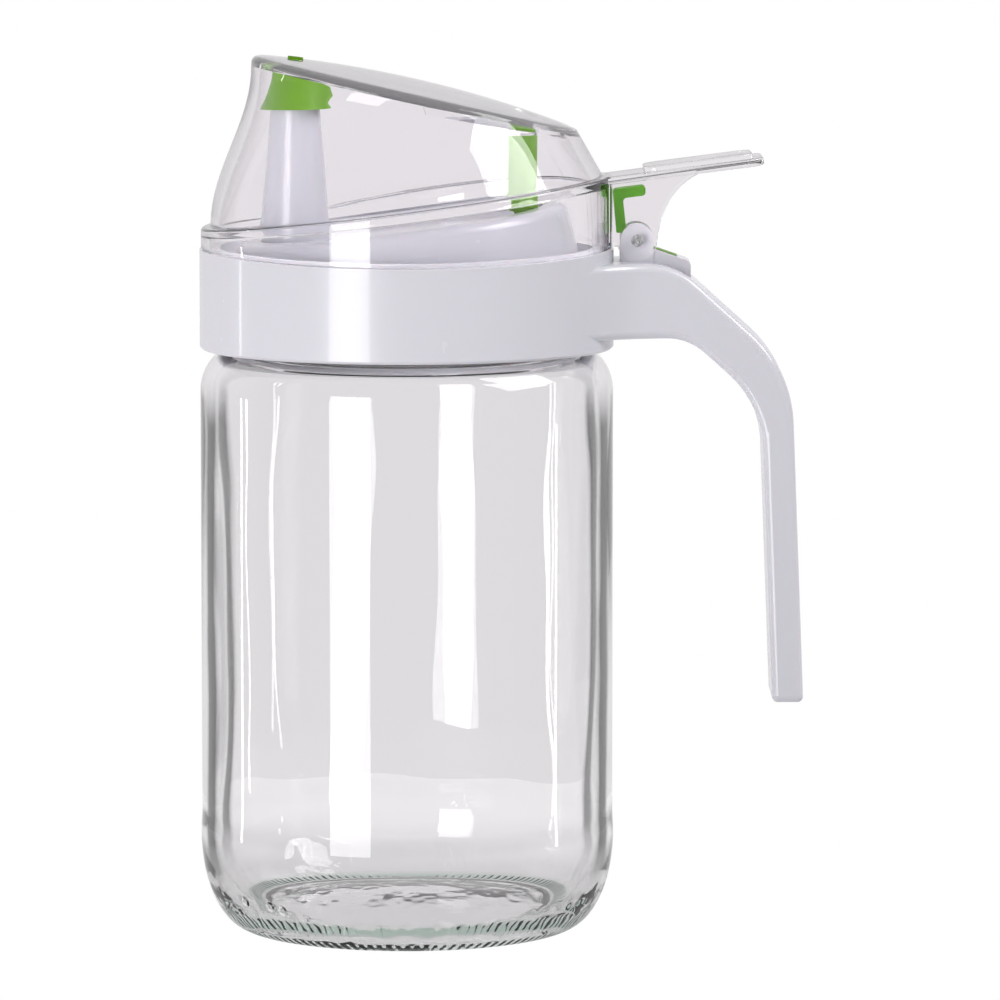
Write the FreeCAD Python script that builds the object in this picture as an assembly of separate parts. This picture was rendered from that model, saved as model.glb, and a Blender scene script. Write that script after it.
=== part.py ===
import FreeCAD, Part
import math
import os

# Kitchen oil dispenser: a glass jar, a white collar with a handle, a pour insert with a spout,
# and a clear flip lid that turns on a steel pin when its thumb lever is pressed.
# Millimetres, +Z up, origin at the centre of the jar's foot.
# The spout points along -X, the handle along +X, and Y = 0 is the plane of symmetry.

# Glass jar
jar_radius = 43.0
jar_wall = 2.8
jar_rim_height = 135.8
neck_setback = 7.5
neck_wall = 3.2
shoulder_radius = 10.0
shoulder_drop = 22.8
heel_width = 10.0
heel_height = 20.0
contact_ridge = 0.2
contact_ridge_height = 4.0
contact_ridge_run = 1.0
foot_band = 2.6
push_up = 3.0
push_up_run = 6.0
floor_thickness = 4.0
inner_heel_bevel = 3.0
rim_bevel = 0.8

# Collar that twists onto the neck
collar_overhang = 0.1
collar_skin = 2.0
collar_drop = 14.1
collar_bottom_bevel = 0.5
thread_play = 0.9
inner_skirt_wall = 2.0
shoulder_clearance = 1.0
shelf_thickness = 2.0
shelf_overlap = 2.2
rib_count = 12
rib_thickness = 1.2
rib_recess = 2.2
rib_bite = 0.5
gasket_thickness = 1.8
gasket_lip = 0.3

# Seam between collar and lid: it dips by seam_dip from the ends (X) to the sides (Y)
seam_rise = 1.4
seam_dip = 1.4
seam_gap = 0.2
upstand_height = 1.0
upstand_wall = 1.8
upstand_gap = 0.5

# Pour insert: a leaning drum with a sloping tray, a spout and a vent hole
slope = 7.33
deck_margin = 2.7
deck_lean = 14.0
deck_wall = 2.0
deck_drop = 4.4
deck_edge_round = 2.4
tray_depth = 1.5
tray_inset = 5.0
flange_thickness = 1.4
insert_play = 0.1
spout_inset = 19.8
spout_base_radius = 7.4
spout_tip_radius = 5.0
spout_rise = 20.9
spout_wall = 1.3
spout_lip_bevel = 0.3
vent_inset = 18.7
vent_radius = 2.2
vent_countersink = 0.8

# Clear flip lid
lid_setback = 0.3
lid_wall = 1.8
lid_top_thickness = 2.1
ledge_rise = 11.3
ledge_thickness = 2.0
ledge_width = 2.0
ledge_bevel = 0.7
roof_slope = 12.4
roof_rise = 25.5
roof_crown_radius = 240.0
roof_front_inset = 10.6
roof_rear_inset = 7.4
roof_side_inset = 13.3
roof_front_rise = 28.2
roof_rear_rise = 14.7
roof_round = 1.6
shell_sections = 5
roof_overrun = 8.0

# Thumb lever of the lid
lever_reach = 26.2
lever_thickness = 1.6
lever_root_half_width = 9.2
lever_tip_half_width = 11.0
lever_corner = 4.0
thumb_pad_offset = 1.4
thumb_pad_length = 22.6
thumb_pad_half_width = 8.6
thumb_pad_height = 1.1
thumb_pad_corner = 3.0
web_thickness = 2.0
web_gap = 0.4
web_bow = 3.7
web_bite = 0.2
web_tip_setback = 9.0
eye_radius = 4.2
eye_clearance = 0.4

# Hinge
pin_offset = 5.0
pin_rise = 3.5
pin_radius = 1.2
pin_play = 0.05
pin_recess = 0.2
ear_margin = 2.2
ear_thickness = 2.6
ear_half_span = 6.0

# Handle
handle_half_width = 10.5
handle_root_run = 13.9
handle_edge_round = 1.6
arm_depth = 15.6
arm_fall = 42.0
arm_run = 12.4
arm_thickness = 9.6
knee_round = 17.0
elbow_round = 26.6
inner_knee_round = 12.0
inner_elbow_round = 22.0
grip_reach = 39.5
grip_length = 76.0
grip_lean = 2.2
grip_thickness = 6.5
grip_end_round = 1.2
trough_half_width = 7.4
trough_depth = 0.9
trough_setback = 6.5
block_length = 8.0
block_rise = 2.8
block_slope = 19.0
block_setback = 0.6
block_round = 1.2
block_bite = 0.2

# Silicone pieces
bell_flare = 2.6
bell_top_margin = 0.1
bell_overlap = 2.3
bell_height = 5.4
bell_lip = 0.7
bell_seat_gap = 0.3
bell_tip_gap = 0.25
bell_hollow = 0.3
plug_gap = 0.4
plug_taper = 1.3
plug_depth = 2.0
stem_radius = 1.6
stem_proud = 0.5
post_margin = 0.8
post_bulge = 0.3
post_bulge_rise = 0.8
post_rise = 13.5
post_tip_depth = 0.7
post_play = 0.3
post_wall = 1.5
stud_length = 6.0
fit_play = 0.05
strap_thickness = 2.1
strap_side_gap = 0.7
strap_gap = 0.03
strap_arm_length = 6.8
strap_top_gap = 1.4
strap_drop = 9.0
strap_lean = 0.8
strap_corner_round = 0.8
anchor_half_width = 3.0
anchor_length = 5.2
anchor_depth = 1.0
anchor_proud = 0.1

# Places and sizes that follow from these
BIG = 400.0
TILT = math.tan(math.radians(slope))
neck_radius = jar_radius - neck_setback
neck_bore = neck_radius - neck_wall
foot_radius = jar_radius - heel_width
shoulder_start = jar_rim_height - shoulder_drop
shoulder_centre = jar_radius - shoulder_radius
shoulder_turn = math.acos((neck_radius - shoulder_centre) / shoulder_radius)
neck_start = shoulder_start + shoulder_radius * math.sin(shoulder_turn)
collar_radius = jar_radius + collar_overhang
collar_bottom = jar_rim_height - collar_drop
thread_bore = neck_radius + thread_play
shelf_underside = jar_rim_height + gasket_thickness
shelf_top = shelf_underside + shelf_thickness
shelf_bore = neck_radius - shelf_overlap
seam_height = shelf_top + seam_rise
skirt_radius = collar_radius - lid_setback
upstand_outer = skirt_radius - lid_wall - upstand_gap
upstand_inner = upstand_outer - upstand_wall
ledge_height = seam_height + ledge_rise
roof_height = ledge_height + roof_rise
deck_height = ledge_height - deck_drop
tray_height = deck_height - tray_depth
spout_x = spout_inset - skirt_radius
spout_foot = deck_height + TILT * spout_x
spout_tip_height = ledge_height + spout_rise
vent_x = skirt_radius - vent_inset
post_radius = vent_radius + post_margin
post_top = ledge_height + post_rise
stud_radius = post_radius - post_wall
pin_x = skirt_radius + pin_offset
pin_z = seam_height + pin_rise
ear_radius = pin_radius + ear_margin
ear_inner = ear_half_span - ear_thickness
web_inner = ear_half_span + web_gap
web_outer = web_inner + web_thickness
lever_end = pin_x + lever_reach
arm_top = pin_z - eye_radius - eye_clearance
arm_underside = arm_top - arm_depth
arm_knee = collar_radius + arm_run
grip_back = collar_radius + grip_reach
grip_end = arm_underside - grip_length
block_start = pin_x + ear_radius - block_bite
block_fall = math.tan(math.radians(block_slope))
block_top = arm_top + block_rise


def vec(x, y, z):
    return FreeCAD.Vector(x, y, z)


def line(a, b):
    """A straight edge in the XZ plane between two (x, z) points."""
    return Part.LineSegment(vec(a[0], 0, a[1]), vec(b[0], 0, b[1])).toShape()


def arc(a, middle, b):
    """An arc in the XZ plane through three (x, z) points."""
    return Part.Arc(vec(a[0], 0, a[1]), vec(middle[0], 0, middle[1]), vec(b[0], 0, b[1])).toShape()


def path(points):
    """Straight edges through (x, z) points."""
    return [line(a, b) for a, b in zip(points, points[1:])]


def outline(points):
    """Straight edges through (x, z) points, closed."""
    return path(points + points[:1])


def rounded(corners):
    """A closed XZ outline of straight edges whose corners are (x, z, radius)."""
    points = [vec(x, 0, z) for x, z, radius in corners]
    edges = []
    ends = []
    for i, (x, z, radius) in enumerate(corners):
        back = (points[i - 1] - points[i]).normalize()
        ahead = (points[(i + 1) % len(points)] - points[i]).normalize()
        half = back.getAngle(ahead) / 2
        reach = radius / math.tan(half)
        start = points[i] + back * reach
        end = points[i] + ahead * reach
        middle = points[i] + (back + ahead).normalize() * (radius / math.sin(half) - radius)
        ends.append((start, end))
        if radius:
            edges.append(Part.Arc(start, middle, end).toShape())
    for (start, end), (next_start, next_end) in zip(ends, ends[1:] + ends[:1]):
        edges.append(Part.LineSegment(end, next_start).toShape())
    return edges


def face_of(edges):
    return Part.Face(Part.Wire(Part.__sortEdges__(edges)))


def turned(edges, x=0.0):
    """The solid of revolution of a closed XZ outline about the vertical line at x."""
    return face_of(edges).revolve(vec(x, 0, 0), vec(0, 0, 1), 360)


def slab(edges, y_low, y_high):
    """An XZ outline extruded from y_low to y_high."""
    face = face_of(edges)
    face.translate(vec(0, y_low, 0))
    return face.extrude(vec(0, y_high - y_low, 0))


def both_sides(edges, y_near, y_far):
    """The same slab on both sides of the plane of symmetry."""
    return [slab(edges, y_near, y_far), slab(edges, -y_far, -y_near)]


def standing(edges, low, high):
    """An outline drawn with (x, y) points, extruded from the height low to the height high."""
    face = face_of(edges)
    face.rotate(vec(0, 0, 0), vec(1, 0, 0), -90)
    face.translate(vec(0, 0, low))
    return face.extrude(vec(0, 0, high - low))


def disc(radius, low, high, x=0.0):
    return Part.makeCylinder(radius, high - low, vec(x, 0, low))


def cone(low_radius, high_radius, low, high, x=0.0):
    return Part.makeCone(low_radius, high_radius, high - low, vec(x, 0, low))


def ring(outer, inner, low, high):
    return disc(outer, low, high).cut(disc(inner, low, high))


def cross_rod(radius, half_length, x=pin_x, z=pin_z):
    """A cylinder along Y, at the hinge axis unless x and z are given."""
    return Part.makeCylinder(radius, 2 * half_length, vec(x, -half_length, z), vec(0, 1, 0))


def below(height):
    """Everything under the sloping plane that has this height over the jar's axis."""
    return slab(outline([(-BIG, height - TILT * BIG), (BIG, height + TILT * BIG),
                         (BIG, -BIG), (-BIG, -BIG)]), -BIG, BIG)


def sloping_layer(shape, low, high):
    """The part of a shape between two sloping planes."""
    return shape.common(below(high)).cut(below(low))


def above_seam(offset):
    """Everything over the bowed seam raised by offset: low at the sides, high at the ends."""
    bow = collar_radius ** 2 / (2 * seam_dip)
    return cross_rod(bow, BIG / 2, 0, seam_height + offset + bow)


def under_roof(depth):
    """The crowned roof as a large ball whose skin lies this deep under the roof's outside."""
    tilt = math.radians(roof_slope)
    centre = vec(-math.sin(tilt), 0, -math.cos(tilt)) * roof_crown_radius + vec(0, 0, roof_height)
    return Part.makeSphere(roof_crown_radius - depth, centre)


def fillet(shape, radius, chosen):
    """Rounds the edges for which chosen(edge) holds."""
    return shape.makeFillet(radius, [edge for edge in shape.Edges if chosen(edge)])


def bevel(shape, width, height):
    """Bevels the edges that lie level at this height."""
    return shape.makeChamfer(width, [edge for edge in shape.Edges if at_height(edge, height)])


def at_height(edge, height):
    return abs(edge.BoundBox.ZMin - height) < 0.01 and abs(edge.BoundBox.ZMax - height) < 0.01


def top_rim(shape, height):
    """The edges that go round the jar's axis and reach over this height."""
    around = jar_radius / 2
    return [edge for edge in shape.Edges if edge.BoundBox.ZMax > height and edge.BoundBox.YLength > around]


def tidy(shape):
    return shape.removeSplitter()


def heel(side_radius, floor):
    """A quarter ellipse from the side of the jar down to its foot."""
    curve = Part.Ellipse(vec(foot_radius, 0, 2 * heel_height - floor), vec(side_radius, 0, heel_height),
                         vec(foot_radius, 0, heel_height))
    return Part.ArcOfEllipse(curve, math.pi / 2, math.pi).toShape()


def shoulder(radius):
    """The shoulder arc of this radius, with its upper end."""
    middle = (shoulder_centre + radius * math.cos(shoulder_turn / 2),
              shoulder_start + radius * math.sin(shoulder_turn / 2))
    top = (shoulder_centre + radius * math.cos(shoulder_turn),
           shoulder_start + radius * math.sin(shoulder_turn))
    return arc((shoulder_centre + radius, shoulder_start), middle, top), top


def glass_jar():
    """Turned: foot ring with push-up, heel, contact ridge, round shoulder and neck."""
    dome = foot_radius - foot_band
    ridge = jar_radius + contact_ridge
    ridge_top = heel_height + contact_ridge_height
    curve, top = shoulder(shoulder_radius)
    outside = [heel(ridge, 0), curve]
    outside += path([(0, push_up), (dome - push_up_run, push_up), (dome, 0), (foot_radius, 0)])
    outside += path([(ridge, heel_height), (ridge, ridge_top - contact_ridge_run), (jar_radius, ridge_top),
                     (jar_radius, shoulder_start)])
    outside += path([top, (neck_radius, jar_rim_height), (0, jar_rim_height), (0, push_up)])

    bore = jar_radius - jar_wall
    floor = push_up + floor_thickness
    mouth = jar_rim_height + 1
    throat = neck_start - jar_wall
    inside = outline([(0, floor), (foot_radius, floor),
                      (bore - inner_heel_bevel, floor + inner_heel_bevel / 2),
                      (bore, floor + 2 * inner_heel_bevel), (bore, shoulder_start),
                      (neck_radius, throat), (neck_bore, neck_start), (neck_bore, mouth), (0, mouth)])
    return bevel(turned(outside).cut(turned(inside)), rim_bevel, jar_rim_height)


def neck_gasket():
    """A flat ring between the jar's rim and the collar's shelf."""
    return ring(neck_radius + gasket_lip, neck_bore + gasket_lip, jar_rim_height, shelf_underside)


def collar():
    """Outer skin, inner skirt, ribs between them, shelf over the rim and upstand inside the lid."""
    skin_inside = collar_radius - collar_skin
    skirt_outside = thread_bore + inner_skirt_wall
    skirt_bottom = neck_start + shoulder_clearance
    skin = ring(collar_radius, skin_inside, collar_bottom, shelf_top)
    skin = bevel(skin, collar_bottom_bevel, collar_bottom)
    rim = ring(collar_radius, upstand_inner, shelf_underside, BIG).cut(above_seam(0))
    upstand = ring(upstand_outer, upstand_inner, shelf_underside, BIG).cut(above_seam(upstand_height))
    shelf = ring(skin_inside + collar_skin / 2, shelf_bore, shelf_underside, shelf_top)
    skirt = ring(skirt_outside, thread_bore, skirt_bottom, shelf_top)
    rib_foot = collar_bottom + rib_recess
    ribs = []
    for i in range(rib_count):
        rib = Part.makeBox(skin_inside - skirt_outside + 2 * rib_bite, rib_thickness, shelf_top - rib_foot,
                           vec(skirt_outside - rib_bite, -rib_thickness / 2, rib_foot))
        rib.rotate(vec(0, 0, 0), vec(0, 0, 1), 360 * (i + 0.5) / rib_count)
        ribs.append(rib)
    return skin.multiFuse([rim, upstand, shelf, skirt] + ribs)


def grip_x(height):
    """The handle's back: X at a height, on the line that leans out to the lower end."""
    return grip_back - (height - grip_end) * math.tan(math.radians(grip_lean))


def handle_corners():
    """Where the level arm, its falling part and the grip meet, outside and inside."""
    fall = math.tan(math.radians(arm_fall))
    lean = math.tan(math.radians(grip_lean))
    drop = arm_top - arm_underside
    inner_knee = arm_knee + drop / fall - arm_thickness / math.sin(math.radians(arm_fall))
    elbow = (grip_x(arm_top) - arm_knee) * fall / (1 - lean * fall)
    inner_elbow = (grip_x(arm_underside) - grip_thickness - inner_knee) * fall / (1 - lean * fall)
    return inner_knee, arm_top - elbow, arm_underside - inner_elbow


def handle_plan():
    """The handle seen from above, as a tall prism: its flanks run into the collar in tangent arcs."""
    root_end = collar_radius + handle_root_run
    reach = root_end ** 2 + handle_half_width ** 2 - collar_radius ** 2
    flare = reach / (2 * (collar_radius - handle_half_width))
    centre_y = handle_half_width + flare
    angle = math.atan2(centre_y, root_end)
    touch_x = collar_radius * math.cos(angle)
    touch_y = collar_radius * math.sin(angle)
    half_way = angle / 2 - math.radians(135)
    middle_x = root_end + flare * math.cos(half_way)
    middle_y = centre_y + flare * math.sin(half_way)
    plan = path([(touch_x, touch_y), (0, touch_y), (0, -touch_y), (touch_x, -touch_y)])
    plan += path([(root_end, handle_half_width), (BIG, handle_half_width),
                  (BIG, -handle_half_width), (root_end, -handle_half_width)])
    for side in (1, -1):
        plan.append(arc((root_end, side * handle_half_width), (middle_x, side * middle_y),
                        (touch_x, side * touch_y)))
    return standing(plan, 0, BIG)


def handle():
    """The arm, its bend and the open-ended grip, flared where it joins the collar."""
    inner_knee, elbow, inner_elbow = handle_corners()
    side = rounded([
        (0, arm_top, 0),
        (arm_knee, arm_top, knee_round),
        (grip_x(elbow), elbow, elbow_round),
        (grip_back, grip_end, grip_end_round),
        (grip_back - grip_thickness, grip_end, grip_end_round),
        (grip_x(inner_elbow) - grip_thickness, inner_elbow, inner_elbow_round),
        (inner_knee, arm_underside, inner_knee_round),
        (0, arm_underside, 0),
    ])
    body = slab(side, -BIG, BIG).common(handle_plan())
    body = fillet(body, handle_edge_round, on_flank)
    return body.cut(trough())


def on_flank(edge):
    """Whether an edge runs along one of the handle's flanks outside the collar."""
    box = edge.BoundBox
    return box.XMin > 1 and box.XLength > 0.1 and box.YMin * box.YMax > 0


def trough():
    """A shallow hollow along the handle's back, swept down the fall and the grip."""
    inner_knee, elbow, inner_elbow = handle_corners()
    fall = math.tan(math.radians(arm_fall))
    start = vec(arm_knee + trough_setback, 0, arm_top - trough_setback * fall)
    corner = vec(grip_x(elbow), 0, elbow)
    end = vec(grip_x(grip_end - 2), 0, grip_end - 2)
    back = (start - corner).normalize()
    ahead = (end - corner).normalize()
    half = back.getAngle(ahead) / 2
    reach = elbow_round / math.tan(half)
    middle = corner + (back + ahead).normalize() * (elbow_round / math.sin(half) - elbow_round)
    bend = Part.Arc(corner + back * reach, middle, corner + ahead * reach)
    spine = Part.Wire([Part.LineSegment(start, corner + back * reach).toShape(), bend.toShape(),
                       Part.LineSegment(corner + ahead * reach, end).toShape()])
    outward = vec(-back.z, 0, back.x)
    outward = outward * math.copysign(1, outward.z)
    edge = vec(0, trough_half_width, 0)
    rise = outward * 2
    bottom = Part.Arc(start - edge, start - outward * trough_depth, start + edge).toShape()
    lid = Part.makePolygon([start + edge, start + edge + rise, start - edge + rise, start - edge])
    section = Part.Wire(Part.__sortEdges__([bottom] + lid.Edges))
    return spine.makePipeShell([section], True, False)


def block():
    """The sloping block behind the ears, where the strap is anchored."""
    end = block_start + block_length
    foot = arm_top - block_length
    half_width = ear_half_span - block_setback
    return slab(rounded([(block_start, foot, 0), (block_start, block_top, 0),
                         (end, block_top - block_length * block_fall, block_round), (end, foot, 0)]),
                -half_width, half_width)


def anchor_band(proud, depth, half_width, length):
    """A band laid in the block's sloping top."""
    end = block_start + length
    fall = length * block_fall
    return slab(outline([(block_start, block_top + proud), (end, block_top - fall + proud),
                         (end, block_top - fall - depth), (block_start, block_top - depth)]),
                -half_width, half_width)


def collar_handle():
    """One moulding: collar, handle, hinge ears and strap block."""
    outside = handle().cut(disc(collar_radius - collar_skin / 2, 0, BIG))
    ear = rounded([(pin_x - ear_radius, arm_top - 2, 0), (pin_x + ear_radius, arm_top - 2, 0),
                   (pin_x + ear_radius, pin_z + ear_radius, ear_radius * 0.999),
                   (pin_x - ear_radius, pin_z + ear_radius, ear_radius * 0.999)])
    body = collar().multiFuse([outside, block()] + both_sides(ear, ear_inner, ear_half_span))
    pocket = anchor_band(block_rise, anchor_depth + fit_play, anchor_half_width + fit_play,
                         anchor_length + fit_play)
    return tidy(body.cut(cross_rod(pin_radius + fit_play, ear_half_span)).cut(pocket))


def drum(inset, low, high):
    """The leaning drum between a level floor and a sloping top, shrunk by inset."""
    lean = math.tan(math.radians(deck_lean))
    rise = 20.0
    base = upstand_inner - deck_margin - inset
    return cone(base, base - rise * lean, low, low + rise).common(below(high))


def pour_insert():
    """Flange on the shelf, spigot in its bore, leaning drum with tray, spout and vent hole."""
    drum_foot = shelf_top + flange_thickness
    flange = disc(upstand_inner - insert_play, shelf_top, drum_foot)
    spigot = disc(shelf_bore - insert_play, shelf_underside, shelf_top)
    deck = drum(0, drum_foot, deck_height)
    deck = deck.makeFillet(deck_edge_round, top_rim(deck, drum_foot + deck_edge_round))
    deck = deck.cut(drum(tray_inset, drum_foot, BIG).cut(below(tray_height)))
    spout = cone(spout_base_radius, spout_tip_radius, spout_foot, spout_tip_height, spout_x)
    foot = disc(spout_base_radius, drum_foot, spout_foot, spout_x)
    spout = bevel(spout, spout_lip_bevel, spout_tip_height)
    hollow = drum(deck_wall, drum_foot, tray_height - deck_wall)
    hollow = hollow.fuse(disc(shelf_bore - insert_play - deck_wall, 0, drum_foot))
    bore_radius = spout_base_radius - spout_wall
    bore = cone(bore_radius, spout_tip_radius - spout_wall, spout_foot, spout_tip_height, spout_x)
    bore = bore.fuse(disc(bore_radius, drum_foot, spout_foot, spout_x))
    vent_face = tray_height + TILT * vent_x
    vent = disc(vent_radius, drum_foot, vent_face + 1, vent_x)
    sink = cone(vent_radius, vent_radius + 4 * vent_countersink, vent_face - vent_countersink,
                vent_face + 3 * vent_countersink, vent_x)
    body = deck.multiFuse([flange, spigot]).cut(hollow).multiFuse([spout, foot.cut(hollow)])
    return tidy(body.cut(bore).cut(vent).cut(sink))


def shell_section(t, inset, drop):
    """One tilted ellipse of the lid's upper shell: t runs from the ledge (0) to the roof (1)."""
    blend = (1 - math.cos(math.pi * t)) / 2
    base = skirt_radius - ledge_width
    front_x = base + (roof_front_inset - ledge_width) * -blend - inset
    rear_x = base + (roof_rear_inset - ledge_width) * -t - inset
    width = base + (roof_side_inset - ledge_width) * -blend - inset
    front_z = ledge_height - drop - TILT * base * (1 - t) + roof_front_rise * t
    rear_z = ledge_height - drop + TILT * base * (1 - t) + roof_rear_rise * t
    middle = vec((rear_x - front_x) / 2, 0, (front_z + rear_z) / 2)
    curve = Part.Ellipse(vec(rear_x, 0, rear_z), middle + vec(0, width, 0), middle)
    return Part.Wire([curve.toShape()])


def lid_shell(inset, depth):
    """The lofted upper shell under the crowned roof, shrunk by inset and lowered by depth."""
    foot = shell_section(0, inset, depth + ledge_thickness)
    sections = [shell_section(i / (shell_sections - 1), inset, depth) for i in range(shell_sections)]
    top = shell_section(1, inset, -roof_overrun)
    return Part.makeLoft([foot] + sections + [top], True).common(under_roof(depth))


def lever():
    """Thumb lever in the ledge's plane, with a raised pad."""
    root = skirt_radius - ledge_width
    plate = standing(rounded([(root, -lever_root_half_width, 0),
                              (lever_end, -lever_tip_half_width, lever_corner),
                              (lever_end, lever_tip_half_width, lever_corner),
                              (root, lever_root_half_width, 0)]), 0, BIG)
    pad_start = pin_x + thumb_pad_offset
    pad_end = pad_start + thumb_pad_length
    pad = standing(rounded([(pad_start, -thumb_pad_half_width, thumb_pad_corner),
                            (pad_end, -thumb_pad_half_width, thumb_pad_corner),
                            (pad_end, thumb_pad_half_width, thumb_pad_corner),
                            (pad_start, thumb_pad_half_width, thumb_pad_corner)]), 0, BIG)
    plate = sloping_layer(plate, ledge_height - lever_thickness, ledge_height)
    pad = sloping_layer(pad, ledge_height - lever_thickness / 2, ledge_height + thumb_pad_height)
    return plate.fuse(pad)


def webs():
    """The two plates under the lever that carry the hinge eyes."""
    front = skirt_radius - lid_wall + web_bite
    under = ledge_height - lever_thickness / 2
    tip = lever_end - web_tip_setback
    tip_z = under + TILT * tip
    heel_x = pin_x + eye_radius
    lift = web_bow * math.sqrt(0.5)
    middle = ((tip + heel_x) / 2 - lift, (tip_z + pin_z) / 2 + lift)
    side = path([(heel_x, pin_z), (pin_x, pin_z - pin_radius), (front, pin_z - pin_radius),
                 (front, under + TILT * front), (tip, tip_z)])
    side.append(arc((tip, tip_z), middle, (heel_x, pin_z)))
    eyes = [cross_rod(eye_radius, web_outer).cut(cross_rod(eye_radius + 1, web_inner))]
    return both_sides(side, web_inner, web_outer) + eyes


def flip_lid():
    """Skirt, ledge, lofted shell with a crowned roof, lever, webs, vent boss and stem hole."""
    skirt = disc(skirt_radius, shelf_top, BIG).common(below(ledge_height))
    skirt = skirt.makeChamfer(ledge_bevel, top_rim(skirt, ledge_height))
    skirt = skirt.common(above_seam(seam_gap))
    hollow = disc(skirt_radius - lid_wall, 0, BIG).common(below(ledge_height - ledge_thickness))
    shell = lid_shell(0, 0)
    shell = shell.makeFillet(roof_round, top_rim(shell, roof_height))
    inside = lid_shell(lid_wall, lid_top_thickness)
    boss = disc(post_radius, post_top, BIG, vent_x).common(under_roof(lid_top_thickness / 2))
    stud = disc(stud_radius, post_top - stud_length, post_top, vent_x)
    body = skirt.cut(hollow).multiFuse([shell, lever()] + webs()).cut(inside).multiFuse([boss, stud])
    stem_hole = disc(stem_radius + fit_play, spout_tip_height, BIG, spout_x)
    return tidy(body.cut(stem_hole).cut(cross_rod(pin_radius + pin_play, web_outer)))


def spout_stopper():
    """Flared bell over the spout's tip, with a plug inside and a stem in the lid's roof."""
    seat = spout_tip_height + bell_seat_gap
    bottom = spout_tip_height - bell_overlap
    shoulder_z = bottom + bell_height
    top_x = spout_x + spout_tip_radius + bell_top_margin
    lip_x = spout_x + spout_tip_radius + bell_flare
    groove_x = spout_x + spout_tip_radius + bell_tip_gap
    plug_x = spout_x + spout_tip_radius - spout_wall - plug_gap
    middle = ((lip_x + top_x) / 2 - bell_hollow, (bottom + shoulder_z) / 2)
    side = [arc((lip_x, bottom), middle, (top_x, shoulder_z))]
    side += path([(top_x, shoulder_z), (top_x, BIG), (spout_x, BIG), (spout_x, seat - plug_depth),
                  (plug_x - plug_taper, seat - plug_depth), (plug_x, seat), (groove_x, seat),
                  (lip_x - bell_lip, bottom), (lip_x, bottom)])
    bell = turned(side, spout_x).common(under_roof(lid_top_thickness + fit_play))
    stem = disc(stem_radius, seat, BIG, spout_x).common(under_roof(-stem_proud))
    return tidy(bell.fuse(stem))


def vent_stopper():
    """Soft sleeve on the lid's stud that closes the vent hole, swollen near its foot."""
    foot = tray_height + TILT * (vent_x + post_radius) + post_play
    bulge = post_radius + post_bulge
    socket = stud_radius + fit_play
    socket_end = post_top - stud_length - fit_play
    side = [(0, foot - post_tip_depth), (vent_radius - 2 * post_play, foot - post_tip_depth),
            (vent_radius - post_play, foot), (post_radius - post_bulge, foot),
            (bulge, foot + post_bulge_rise), (bulge, foot + 2 * post_bulge_rise),
            (post_radius, foot + 4 * post_bulge_rise), (post_radius, post_top), (socket, post_top),
            (socket, socket_end), (0, socket_end)]
    return turned(outline([(vent_x + radius, z) for radius, z in side]), vent_x)


def hinge_pin():
    return cross_rod(pin_radius, web_outer - pin_recess)


def lever_strap():
    """The strap's head: an angle in the corner between the lid's skirt and the lever."""
    left = skirt_radius + strap_gap
    top = ledge_height - lever_thickness - strap_top_gap
    right = left + strap_arm_length
    inner = left + strap_thickness
    foot = top + TILT * left - strap_drop
    half_width = ear_inner - strap_side_gap
    side = rounded([(left, top + TILT * left, strap_corner_round),
                    (right, top + TILT * right, strap_corner_round),
                    (right, top + TILT * right - strap_thickness, strap_corner_round),
                    (inner, top + TILT * inner - strap_thickness, strap_corner_round),
                    (inner + strap_lean, foot, 0), (left + strap_lean, foot, 0)])
    return slab(side, -half_width, half_width)


def strap_anchor():
    """The strap's tail, set into the block behind the ears."""
    return anchor_band(anchor_proud, anchor_depth, anchor_half_width, anchor_length)


os.makedirs("parts", exist_ok=True)
for piece in (glass_jar, neck_gasket, collar_handle, pour_insert, flip_lid, hinge_pin,
              spout_stopper, vent_stopper, lever_strap, strap_anchor):
    piece().exportStep("parts/" + piece.__name__ + ".step")
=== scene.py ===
import math

import bmesh
import bpy
from mathutils import Matrix, Vector

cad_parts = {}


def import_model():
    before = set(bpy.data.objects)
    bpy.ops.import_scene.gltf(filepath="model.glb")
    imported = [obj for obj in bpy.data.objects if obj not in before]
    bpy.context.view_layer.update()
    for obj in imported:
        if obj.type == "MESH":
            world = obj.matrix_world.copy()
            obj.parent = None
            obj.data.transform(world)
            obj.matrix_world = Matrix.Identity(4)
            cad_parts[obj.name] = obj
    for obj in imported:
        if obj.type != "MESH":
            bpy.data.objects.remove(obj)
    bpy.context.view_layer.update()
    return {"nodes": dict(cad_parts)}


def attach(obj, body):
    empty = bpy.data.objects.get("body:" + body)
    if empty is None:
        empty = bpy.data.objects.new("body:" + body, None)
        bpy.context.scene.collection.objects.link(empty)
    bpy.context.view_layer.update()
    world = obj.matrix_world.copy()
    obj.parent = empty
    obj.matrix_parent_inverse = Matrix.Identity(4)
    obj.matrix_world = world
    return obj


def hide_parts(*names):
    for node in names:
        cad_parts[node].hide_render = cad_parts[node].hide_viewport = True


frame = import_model()
nodes = frame["nodes"]
scene = bpy.context.scene

# Colours, linear
WHITE_PLASTIC = (0.645, 0.64, 0.69, 1)
# A darker copy of the white plastic: painted shade for the insert inside the lid
INSERT_PLASTIC_PAINTED_SHADE = (0.46, 0.455, 0.505, 1)
GREEN_SILICONE = (0.1, 0.25, 0.0003, 1)
# A deeper copy of the green silicone: painted shade for the strap seen through the web
STRAP_GREEN_PAINTED_SHADE = (0.075, 0.285, 0.0002, 1)
WHITE_SILICONE = (0.78, 0.78, 0.78, 1)
CLEAR_PLASTIC = (1.0, 0.985, 1.0, 1)
# Painted shade for where the clear plastic turns away
CLEAR_PLASTIC_PAINTED_SHADE = (0.42, 0.40, 0.43, 1)
CLEAR_GLASS = (0.972, 0.966, 0.972, 1)
GREEN_GLASS = (0.42, 0.60, 0.50, 1)
STEEL = (0.40, 0.40, 0.41, 1)

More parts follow.
